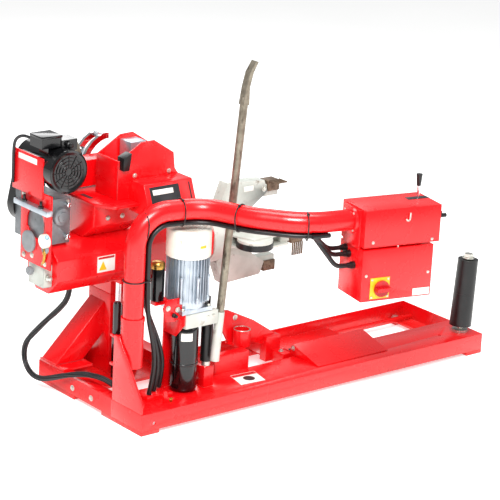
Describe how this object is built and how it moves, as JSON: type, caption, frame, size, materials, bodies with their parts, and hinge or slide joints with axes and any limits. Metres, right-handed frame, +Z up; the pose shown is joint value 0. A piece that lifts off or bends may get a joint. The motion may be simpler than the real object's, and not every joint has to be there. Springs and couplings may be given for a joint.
{
  "type": "heavy-duty tyre changer",
  "caption": "Floor-standing tyre changing machine: lifting chuck head with jaw arms, tool carriage, swinging console boom, pump unit, sliding wheel platform, rollers and a tyre lever",
  "frame": {"origin": "centre of the four anchor holes, on the floor under the base", "axes": "X runs along the front rail from the lifting column to the bead roller, Y to the back, Z up"},
  "size_m": [1.9924, 1.1908, 1.3809],
  "materials": {
    "red_enamel": "gloss",
    "grey_paint": "semi-gloss",
    "black_paint": "gloss",
    "cream_paint": "semi-gloss",
    "cast_grey": "matte",
    "steel": "worn",
    "zinc": "satin",
    "chrome": "polished",
    "aluminium": "satin",
    "bronze": "satin",
    "black_plastic": "satin",
    "red_plastic": "gloss",
    "grey_plastic": "matte",
    "hose_rubber": "satin"
  },
  "bodies": {
    "frame": {"base_front_rail": "red_enamel", "base_side_rails": "red_enamel", "base_feet": "red_enamel", "lift_column": "red_enamel", "column_brace": "red_enamel", "lift_cylinder": "black_paint", "boom_gusset": "red_enamel", "boom_socket": "red_enamel", "boom_bushes": "bronze", "pump_reservoir": "black_paint", "pump_manifold": "aluminium", "pump_motor_body": "aluminium", "pump_motor_cover": "cream_paint", "power_stand": "red_enamel", "lever_holder": "grey_paint", "roller_posts": "zinc", "drop_hose_front": "hose_rubber", "drop_hose_middle": "hose_rubber", "drop_hose_rear": "hose_rubber", "head_cables": "hose_rubber"},
    "head": {"lift_slide": "red_enamel", "lift_rod": "chrome", "head_beam": "red_enamel", "head_saddle": "red_enamel", "tower_box": "red_enamel", "tool_guide": "red_enamel", "gearbox_housing": "cast_grey", "drive_frame": "red_enamel", "drive_motor": "black_paint", "belt_guard": "black_plastic"},
    "chuck": {"spindle": "steel", "chuck_hub": "grey_paint"},
    "worm": {"worm_shaft": "steel"},
    "motor_rotor": {"drive_rotor": "steel"},
    "jaw_upper": {"chuck_arm_upper": "grey_paint"},
    "jaw_front": {"chuck_arm_front": "grey_paint"},
    "jaw_lower": {"chuck_arm_lower": "grey_paint"},
    "jaw_rear": {"chuck_arm_rear": "grey_paint"},
    "carriage": {"tool_carriage": "red_enamel"},
    "tool": {"tool_arm": "steel"},
    "disc": {"bead_disc": "steel"},
    "boom": {"boom_tube": "red_enamel", "console_bracket": "red_enamel", "console_cover": "red_enamel", "console_lower_case": "red_enamel", "console_lower_panel": "red_enamel", "console_internals": "grey_plastic", "cable_glands": "black_plastic", "boom_hoses": "hose_rubber"},
    "joystick": {"joystick_lever": "black_plastic"},
    "lever_front": {"side_lever_front": "black_plastic"},
    "lever_rear": {"side_lever_rear": "black_plastic"},
    "switch": {"main_switch_knob": "red_plastic"},
    "pump": {"pump_rotor": "steel"},
    "bar": {"tyre_lever": "steel"},
    "roller": {"bead_roller": "black_plastic"},
    "roller_spare": {"spare_roller": "black_plastic"},
    "platform": {"platform_deck": "red_enamel", "platform_ramp": "red_enamel"},
    "roller_stop": {"platform_roller": "black_plastic"}
  },
  "joints": [
    {"name": "head_lift", "type": "slide", "parent": "frame", "child": "head", "axis": [0, 0, 1], "range_m": [0, 0.24]},
    {"name": "chuck_spin", "type": "hinge", "parent": "head", "child": "chuck", "pos_m": [-0.1925, 0.114, 0.571], "axis": [1, 0, 0], "continuous": true},
    {"name": "worm_spin", "type": "hinge", "parent": "head", "child": "worm", "pos_m": [-1.0145, 0.114, 0.782], "axis": [0, 1, 0], "continuous": true},
    {"name": "motor_spin", "type": "hinge", "parent": "head", "child": "motor_rotor", "pos_m": [-1.0135, 0.114, 0.966], "axis": [0, 1, 0], "continuous": true},
    {"name": "jaw_upper_swing", "type": "hinge", "parent": "chuck", "child": "jaw_upper", "pos_m": [-0.1925, 0.114, 0.651], "axis": [0, -1, 0], "range_deg": [0, 25]},
    {"name": "jaw_front_swing", "type": "hinge", "parent": "chuck", "child": "jaw_front", "pos_m": [-0.1925, 0.034, 0.571], "axis": [0, 0, -1], "range_deg": [0, 25]},
    {"name": "jaw_lower_swing", "type": "hinge", "parent": "chuck", "child": "jaw_lower", "pos_m": [-0.1925, 0.114, 0.491], "axis": [0, 1, 0], "range_deg": [0, 25]},
    {"name": "jaw_rear_swing", "type": "hinge", "parent": "chuck", "child": "jaw_rear", "pos_m": [-0.1925, 0.194, 0.571], "axis": [0, 0, 1], "range_deg": [0, 25]},
    {"name": "carriage_slide", "type": "slide", "parent": "head", "child": "carriage", "axis": [1, 0, 0], "range_m": [0, 0.16]},
    {"name": "tool_swing", "type": "hinge", "parent": "carriage", "child": "tool", "pos_m": [-0.7425, 0.31, 0.885], "axis": [0, 1, 0], "range_deg": [0, 100]},
    {"name": "disc_spin", "type": "hinge", "parent": "tool", "child": "disc", "pos_m": [-0.7885, 0.31, 0.935], "axis": [1, 0, 0], "continuous": true},
    {"name": "boom_swing", "type": "hinge", "parent": "frame", "child": "boom", "pos_m": [-0.8405, -0.204, 0.5], "axis": [0, 0, 1], "range_deg": [-75, 5]},
    {"name": "joystick_tilt", "type": "hinge", "parent": "boom", "child": "joystick", "pos_m": [0.12378, -0.69635, 0.787], "axis": [0.2096, 0.9778, 0], "range_deg": [-15, 15], "stiffness_Nm_per_rad": 3},
    {"name": "side_lever_front_tilt", "type": "hinge", "parent": "boom", "child": "lever_front", "pos_m": [0.10534, -0.76808, 0.83], "axis": [0.2096, 0.9778, 0], "range_deg": [-18, 18], "stiffness_Nm_per_rad": 1.5},
    {"name": "side_lever_rear_tilt", "type": "hinge", "parent": "boom", "child": "lever_rear", "pos_m": [0.11205, -0.73679, 0.83], "axis": [0.2096, 0.9778, 0], "range_deg": [-18, 18], "stiffness_Nm_per_rad": 1.5},
    {"name": "main_switch_turn", "type": "hinge", "parent": "boom", "child": "switch", "pos_m": [-0.09637, -0.75961, 0.577], "axis": [0.2096, 0.9778, 0], "range_deg": [0, 90]},
    {"name": "pump_spin", "type": "hinge", "parent": "frame", "child": "pump", "pos_m": [-0.5925, -0.209, 0.5], "axis": [0, 0, 1], "continuous": true},
    {"name": "lever_lift", "type": "slide", "parent": "frame", "child": "bar", "axis": [0.0802, 0, 0.9968], "range_m": [0, 0.25]},
    {"name": "roller_spin", "type": "hinge", "parent": "frame", "child": "roller", "pos_m": [0.84182, -0.275, 0.24778], "axis": [0.0523, 0, 0.9986], "continuous": true},
    {"name": "spare_roller_spin", "type": "hinge", "parent": "frame", "child": "roller_spare", "pos_m": [-0.4905, -0.218, 0.26], "axis": [0, 0, 1], "continuous": true},
    {"name": "platform_slide", "type": "slide", "parent": "frame", "child": "platform", "axis": [1, 0, 0], "range_m": [0, 0.35]},
    {"name": "stop_roller_spin", "type": "hinge", "parent": "platform", "child": "roller_stop", "pos_m": [0.2075, -0.062, 0.066], "axis": [1, 0, 0], "continuous": true}
  ],
  "couplings": [
    {"joint": "worm_spin", "follows": "chuck_spin", "ratio": 20},
    {"joint": "motor_spin", "follows": "chuck_spin", "ratio": 46.667},
    {"joint": "jaw_front_swing", "follows": "jaw_upper_swing", "ratio": 1},
    {"joint": "jaw_lower_swing", "follows": "jaw_upper_swing", "ratio": 1},
    {"joint": "jaw_rear_swing", "follows": "jaw_upper_swing", "ratio": 1}
  ]
}
